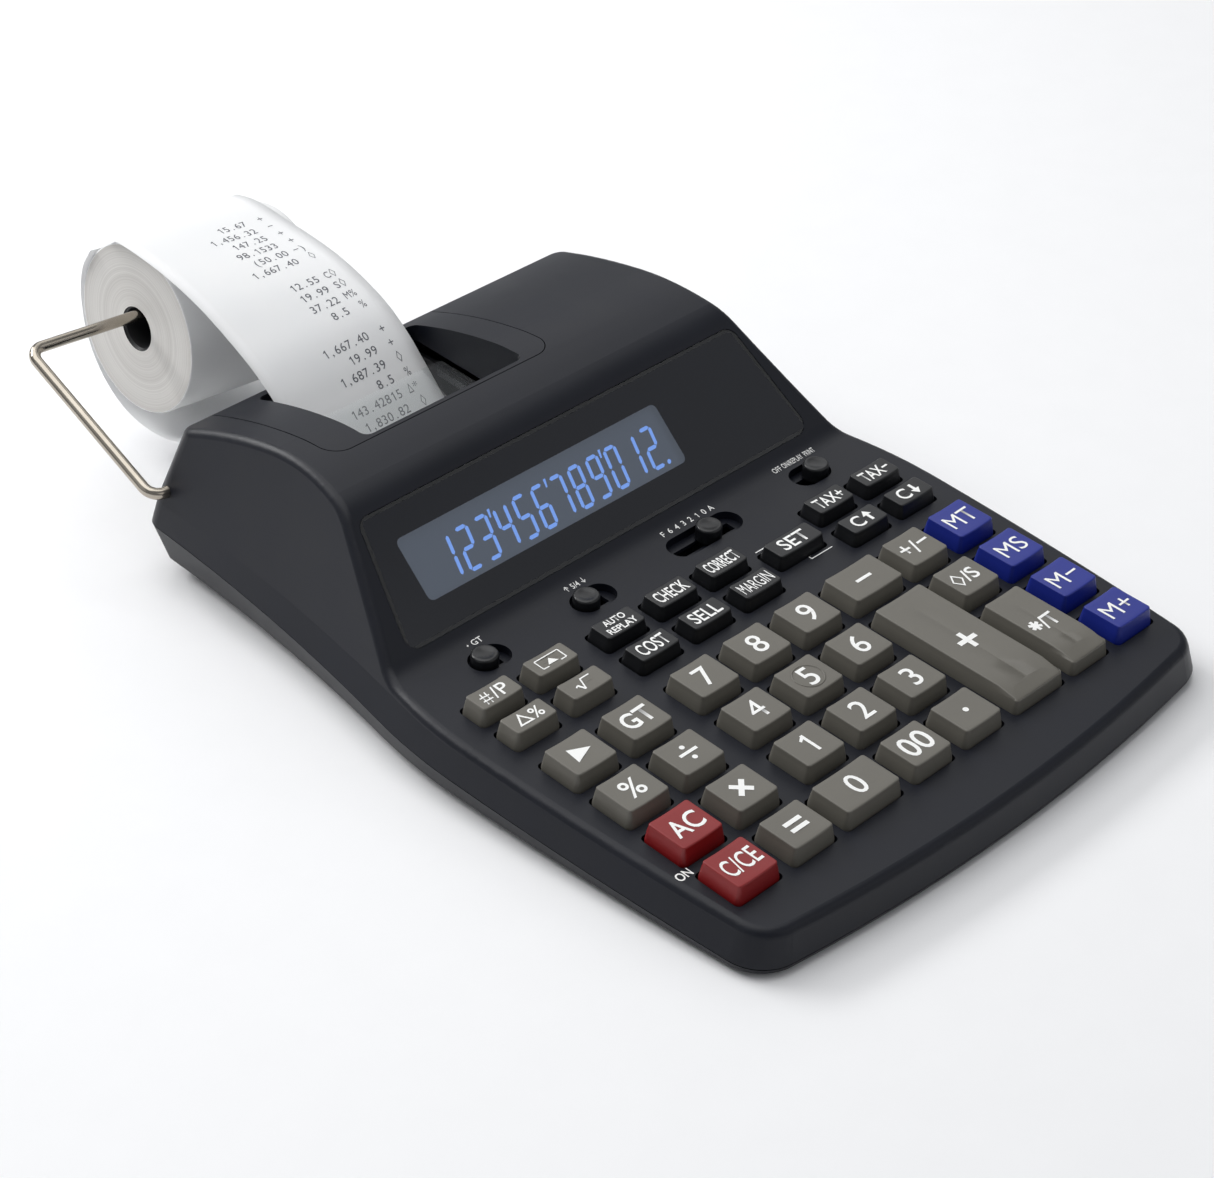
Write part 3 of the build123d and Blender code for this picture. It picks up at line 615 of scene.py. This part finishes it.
SMALL = 2.1                 # cap height of the small deck lettering
LABEL_V = 61.2
deck_text("label_on", lettering("ON", 3.0, 5.2, 0.015), -94.0, -51.0)
deck_text("label_grand_total", joined(disc(-3.6, 0, 0.3), lettering("GT", SMALL, 4.0, 0.008)), -66.5, LABEL_V)
deck_text("label_rounding", lettering("↑ 5/4 ↓", SMALL, 8.6, 0.008), -25.8, LABEL_V)
stops = "F643210A"          # the stops of the decimal switch
stop_pitch = 3.05
letters = [moved(lettering(mark, SMALL, 2.0, 0.008), (n - (len(stops) - 1) / 2) * stop_pitch, 0)
           for n, mark in enumerate(stops)]
deck_text("label_decimals", joined(*letters), 23.4, LABEL_V)
deck_text("label_power", joined(moved(lettering("OFF", SMALL, 3.6, 0.004), -7.9, 0),
                                moved(lettering("ON/REPLAY", SMALL, 9.4, 0.004), -0.6, 0),
                                moved(lettering("PRINT", SMALL, 4.6, 0.004), 7.4, 0)), 73.2, LABEL_V)
set_key = caps["key_set"]
rule_y, rule_width = set_key.half_y + 2.9, 0.4
rule_right = set_key.half_x - 1.5
deck_text("rule_above_set", bar(-set_key.half_x, rule_y, rule_right, rule_y, rule_width),
          set_key.x, set_key.y)
deck_text("rule_below_set", joined(bar(1.5, -rule_y, rule_right + 3.0, -rule_y, rule_width),
                                   bar(1.5, -rule_y, 1.5, -rule_y + 1.2, rule_width)), set_key.x, set_key.y)


# ---------------------------------------------------------------- display
def panel_mask():
    """Dark glossy border of the window, with a clear opening over the liquid crystal cell."""
    depth, margin, corner = 0.02, 1.2, 2.0
    low_half, high_half = PANEL_BOTTOM_HALF - margin, PANEL_TOP_HALF - margin
    middle_x, middle_y = (LCD_LEFT + LCD_RIGHT) / 2, (LCD_LOW + LCD_HIGH) / 2
    half_x, half_y = (LCD_RIGHT - LCD_LEFT) / 2, (LCD_HIGH - LCD_LOW) / 2
    opening, border = [], []
    for x, y in rounded_ring(half_x, half_y, corner, 4, 4):
        opening.append((middle_x + x, middle_y + y, depth))
        side = max(abs(x) / half_x, abs(y) / half_y)
        out_x, out_y = x / half_x / side, y / half_y / side
        rise = (out_y + 1) / 2
        half = low_half + (high_half - low_half) * rise
        reach = half - middle_x if out_x > 0 else half + middle_x
        border.append((middle_x + out_x * reach, margin + (PANEL_LENGTH - 2 * margin) * rise, depth))
    count = len(opening)
    faces = [(i, (i + 1) % count, count + (i + 1) % count, count + i) for i in range(count)]
    mesh_piece("display_mask", border + opening, faces, PANEL_INK, place=PANEL, smooth=False)


SEGMENTS = {"0": "abcdef", "1": "bc", "2": "abged", "3": "abgcd", "4": "fgbc", "5": "afgcd", "6": "afgedc",
            "7": "abc", "8": "abcdefg", "9": "abcdfg"}


def seven_segment(mark, width, height, thick):
    """Bars of one digit, with mitred ends and small gaps between them."""
    w, h = width - thick, height - thick
    gap = 0.14
    ends = {"a": ((0, h), (w, h)), "b": ((w, h / 2), (w, h)), "c": ((w, 0), (w, h / 2)),
            "d": ((0, 0), (w, 0)), "e": ((0, 0), (0, h / 2)), "f": ((0, h / 2), (0, h)),
            "g": ((0, h / 2), (w, h / 2))}
    drawings = []
    for name in SEGMENTS[mark]:
        (x0, y0), (x1, y1) = ends[name]
        length = math.hypot(x1 - x0, y1 - y0)
        dx, dy = (x1 - x0) / length, (y1 - y0) / length
        x0, y0, x1, y1 = x0 + dx * gap, y0 + dy * gap, x1 - dx * gap, y1 - dy * gap
        half = thick / 2
        drawings.append(polygon((x0, y0), (x0 + dx * half + dy * half, y0 + dy * half - dx * half),
                                (x1 - dx * half + dy * half, y1 - dy * half - dx * half), (x1, y1),
                                (x1 - dx * half - dy * half, y1 - dy * half + dx * half),
                                (x0 + dx * half - dy * half, y0 + dy * half + dx * half)))
    return joined(*drawings)


def lcd():
    """Grey cell behind the window and its lit digits, slanted a little."""
    overlap = 1.5
    low, high = LCD_LOW - overlap, LCD_HIGH + overlap
    left, right = LCD_LEFT - overlap, LCD_RIGHT + overlap
    depth = -PANEL_THICKNESS - 0.15
    corners = [(left, low, depth), (right, low, depth), (right, high, depth), (left, high, depth)]
    mesh_piece("lcd_face", corners, [(0, 1, 2, 3)], LCD_GLASS, place=PANEL, smooth=False)
    width, height, thick, slant = 5.6, 14.2, 1.25, 0.14
    first_x, pitch, base = -60.8, 7.88, 12.8
    number = "123456789012"
    drawings = []
    for n, mark in enumerate(number):
        x = first_x + n * pitch
        drawings.append(moved(seven_segment(mark, width, height, thick), x, 0))
        if n in (2, 5, 8):
            drawings.append(polygon((x + 5.7, height - 2.9), (x + 6.3, height - 2.9),
                                    (x + 6.7, height - 0.2), (x + 5.7, height - 0.2)))
    drawings.append(disc(first_x + (len(number) - 1) * pitch + 6.3, 0.1, 0.75))
    points, faces = joined(*drawings)
    mesh_piece("lcd_digits", [(x + slant * y, base + y, depth + 0.03) for x, y in points], faces, LCD_SEGMENT,
               place=PANEL, smooth=False)


panel_mask()
lcd()


# ---------------------------------------------------------------- paper
ROUTE = [(265.6, 31.3), (271.0, 22.0), (273.1, 10.0), (271.4, -4.0), (264.0, -17.2), (251.0, -25.6),
         (233.0, -26.4), (214.0, -20.0), (197.0, -11.0), (183.0, -6.0), (168.0, -10.4), (159.0, -15.6),
         (151.3, -17.6), (144.9, -14.8), (143.5, -9.0), (146.9, -4.4), (154.2, 2.0), (159.6, 7.3),
         (165.0, 12.4), (172.0, 18.8), (181.0, 25.0), (192.0, 30.3), (206.0, 35.8), (221.0, 39.5),
         (237.0, 41.4), (250.0, 41.5), (260.0, 39.4)]
ROLL_V = deck_box("paper_roll")[0].y / 2 + deck_box("paper_roll")[1].y / 2


def smooth_route(points, steps=10):
    """Evenly flowing curve through the points."""
    ends = [points[0]] + points + [points[-1]]
    curve = []
    for i in range(1, len(ends) - 2):
        a, b, c, d = (Vector(ends[k]) for k in (i - 1, i, i + 1, i + 2))
        for step in range(steps):
            t = step / steps
            curve.append(0.5 * ((2 * b) + (c - a) * t + (2 * a - 5 * b + 4 * c - d) * t * t
                                + (3 * b - a - 3 * c + d) * t ** 3))
    curve.append(Vector(points[-1]))
    return curve


route = smooth_route(ROUTE)
lengths = [0.0]
for before, after in zip(route, route[1:]):
    lengths.append(lengths[-1] + (after - before).length)


def droop_at(v):
    """How far the web has turned to the slope of the bar: none inside the case, all of it at the roll."""
    f = min(1.0, max(0.0, (v - 178.0) / (ROLL_V - 5 - 178.0)))
    return math.tan(DROOP) * f * f * (3 - 2 * f)


def web_point(place, x):
    """Point on the web at a length along it and an X, and the direction out of its printed face."""
    place = min(max(place, 0.0), lengths[-1] - 1e-6)
    i = max(k for k in range(len(lengths) - 1) if lengths[k] <= place)
    f = (place - lengths[i]) / (lengths[i + 1] - lengths[i])
    v, w = route[i].lerp(route[i + 1], f)
    along = (route[i + 1] - route[i]).normalized()
    curl = 0.35 * ((x - ROLL_LEFT) / PAPER_WIDTH - 0.5) ** 2
    return Vector((x, v, w - (x - ROLL_LEFT) * droop_at(v) + curl)), Vector((0, -along.y, along.x))


def web():
    across = 12
    points, faces = [], []
    for place in lengths:
        for k in range(across + 1):
            points.append(web_point(place, ROLL_LEFT + PAPER_WIDTH * k / across)[0])
    for i in range(len(lengths) - 1):
        for k in range(across):
            a = i * (across + 1) + k
            faces.append((a, a + 1, a + across + 2, a + across + 1))
    piece = mesh_piece("paper_web", points, faces, PAPER, stands_for=["paper_tape"])
    thick = piece.modifiers.new("sheet", "SOLIDIFY")
    thick.thickness = 0.09 * MM
    thick.offset = 0


# figures and their mark, oldest first; an empty pair is a blank line
LINES = [("15.67", "+"), ("1,456.32", "−"), ("147.25", "+"), ("98.1533", "+"), ("(50.00", "−)"),
         ("1,667.40", "◇"), ("", ""),
         ("12.55", "C◇"), ("19.99", "S◇"), ("37.22", "M%"), ("8.5", "%"), ("", ""),
         ("1,667.40", "+"), ("19.99", "+"), ("1,687.39", "◇"), ("8.5", "%"), ("143.42815", "△*"),
         ("1,830.82", "◇")]


CHARACTER = 2.38            # pitch of the printed characters


def printing():
    """Lines of figures down the strip, newest nearest the tear bar, on the fixed pitch of the print head."""
    right = -1.0
    first_v, row_pitch = 156.0, 5.42
    newest = next(lengths[i] for i, p in enumerate(route) if i > len(route) // 2 and p.x > first_v)
    points, faces = [], []
    for row, (figures, mark) in enumerate(reversed(LINES)):
        for text, edge in ((figures, right - 3 * CHARACTER), (mark, right)):
            for place, letter in enumerate(reversed(text)):
                flat, more = lettering(letter, 3.0, 2.0, 0.0)
                start = len(points)
                for x, y in flat:
                    on, out = web_point(newest + row * row_pitch + y, edge - (place + 0.5) * CHARACTER + x)
                    points.append(on + out * 0.09)
                faces += [tuple(i + start for i in face) for face in more]
    mesh_piece("strip_printing", points, faces, PRINT, smooth=False)


web()
printing()


def turn_of_paper(radius, x, steps=96):
    """Circle of points about the roll's axis."""
    angles = [2 * math.pi * i / steps for i in range(steps)]
    return [(x, radius * math.cos(angle), radius * math.sin(angle)) for angle in angles]


def tube(name, profile, finish, place, stands_for=()):
    """Surface turned about the roll's axis from (radius, x) pairs."""
    points, faces = skin([turn_of_paper(radius, x) for radius, x in profile], closed_top=False)
    return mesh_piece(name, points, faces, finish, "paper_roll", place, stands_for=stands_for)


def roll():
    """Wound roll: soft-cornered ring of paper on a black core, hanging askew on the bar."""
    turn = joint("roll_turn")
    place = (Matrix.Translation(Vector(turn["pos_m"])) @ DECK.to_3x3().to_4x4()
             @ Matrix.Rotation(DROOP, 4, "Y"))
    width, soft = PAPER_WIDTH, 0.5
    face_r = ROLL_R - soft
    core = CORE_R + 0.7
    outside = [(face_r, 0.0), (ROLL_R - 0.12, 0.12), (ROLL_R, soft), (ROLL_R, width - soft),
               (ROLL_R - 0.12, width - 0.12), (face_r, width)]
    tube("roll_outer_turn", outside, PAPER, place, stands_for=["paper_roll"])
    steps, sink = 14, 0.21
    # Both side faces take the edge finish, whose grey tone is painted shade.
    for name, x, side in (("roll_left_edge", 0.0, -1), ("roll_right_edge", width, 1)):
        face = [(core + (face_r - core) * k / steps, x - side * sink * math.sin(math.pi * k / steps))
                for k in range(steps + 1)]
        tube(name, face, PAPER_EDGE_PAINTED_SHADE, place)
    inset, lip = 0.8, 0.4
    bore = CORE_R + 0.02
    near = [(core, 0.0), (core - 0.1, inset), (CORE_R + 0.2, inset), (bore, inset + lip)]
    far = [(radius, width - x) for radius, x in reversed(near)]
    tube("roll_core_tube", near + far, CORE_PLASTIC, place)


roll()

# ---------------------------------------------------------------- CAD nodes shown as they are
AS_BUILT = {
    "top_cover": CASE, "printer_cover": CASE, "bottom_case": CASE_BASE, "display_window": WINDOW,
    "tear_bar": CLEAR, "paper_arm": NICKEL, "power_jack": WORKS, "platen_roller": PLATEN_RUBBER,
    "printer_and_board": WORKS, "rubber_feet": FOOT_RUBBER,
}
for node, finish in AS_BUILT.items():
    repaint(node, finish)

# ---------------------------------------------------------------- floor, light and camera
floor_data = bpy.data.meshes.new("floor")
reach = 6.0
floor_corners = [(-reach, -reach, 0), (reach, -reach, 0), (reach, reach, 0), (-reach, reach, 0)]
floor_data.from_pydata(floor_corners, [], [(0, 1, 2, 3)])
floor = bpy.data.objects.new("floor", floor_data)
scene.collection.objects.link(floor)
floor_data.materials.append(moulded("matte_white_backdrop", "#f0f0f1", "#f3f3f4", 0.9, 1.5, 0.02))

world = bpy.data.worlds.new("studio")
scene.world = world
world.use_nodes = True
world.node_tree.nodes["Background"].inputs["Color"].default_value = (0.93, 0.96, 1.0, 1)
world.node_tree.nodes["Background"].inputs["Strength"].default_value = 0.26


def softbox(name, at, aim, size, power, colour=(1, 1, 1)):
    lamp = bpy.data.lights.new(name, "AREA")
    lamp.shape = "RECTANGLE"
    lamp.size, lamp.size_y = size
    lamp.energy = power
    lamp.color = colour
    holder = bpy.data.objects.new(name, lamp)
    scene.collection.objects.link(holder)
    at, aim = Vector(at), Vector(aim)
    holder.matrix_world = Matrix.Translation(at) @ (aim - at).to_track_quat("-Z", "Y").to_matrix().to_4x4()


softbox("overhead", (-0.1, 0.25, 1.3), (0, 0, 0), (1.4, 1.4), 11.0)
softbox("behind", (-0.35, 1.2, 0.9), (0, 0, 0), (0.9, 0.4), 13.0)
softbox("left_side", (-1.3, 0.1, 0.8), (0, 0, 0.03), (0.9, 1.2), 0.8)
softbox("front_fill", (0.3, -1.4, 0.9), (0, 0, 0.03), (1.2, 0.8), 1.5)
softbox("back_right", (1.1, 0.95, 1.1), (0, 0, 0.03), (1.4, 1.2), 4.5)
softbox("right_front", (1.2, -1.0, 1.0), (0, 0, 0.03), (1.0, 0.8), 0.9)

CAMERA_AT = (-528.3, -433.9, 532.8)
CAMERA_AIM = (-25.0, 48.3, 0.0)
CAMERA_ROLL = math.radians(2.45)
camera_data = bpy.data.cameras.new("camera")
camera_data.sensor_width = 36.0
camera_data.sensor_fit = "HORIZONTAL"
camera_data.lens = 86.27
camera_data.clip_start = 0.01
camera = bpy.data.objects.new("camera", camera_data)
scene.collection.objects.link(camera)
eye, target = Vector(CAMERA_AT) * MM, Vector(CAMERA_AIM) * MM
look = (target - eye).normalized()
level = look.cross(Vector((0, 0, 1))).normalized()
upright = level.cross(look)
right = level * math.cos(CAMERA_ROLL) + upright * math.sin(CAMERA_ROLL)
above = upright * math.cos(CAMERA_ROLL) - level * math.sin(CAMERA_ROLL)
pose = Matrix((right, above, -look)).transposed().to_4x4()
pose.translation = eye
camera.matrix_world = DECK @ pose
scene.camera = camera
scene.view_settings.view_transform = "Standard"
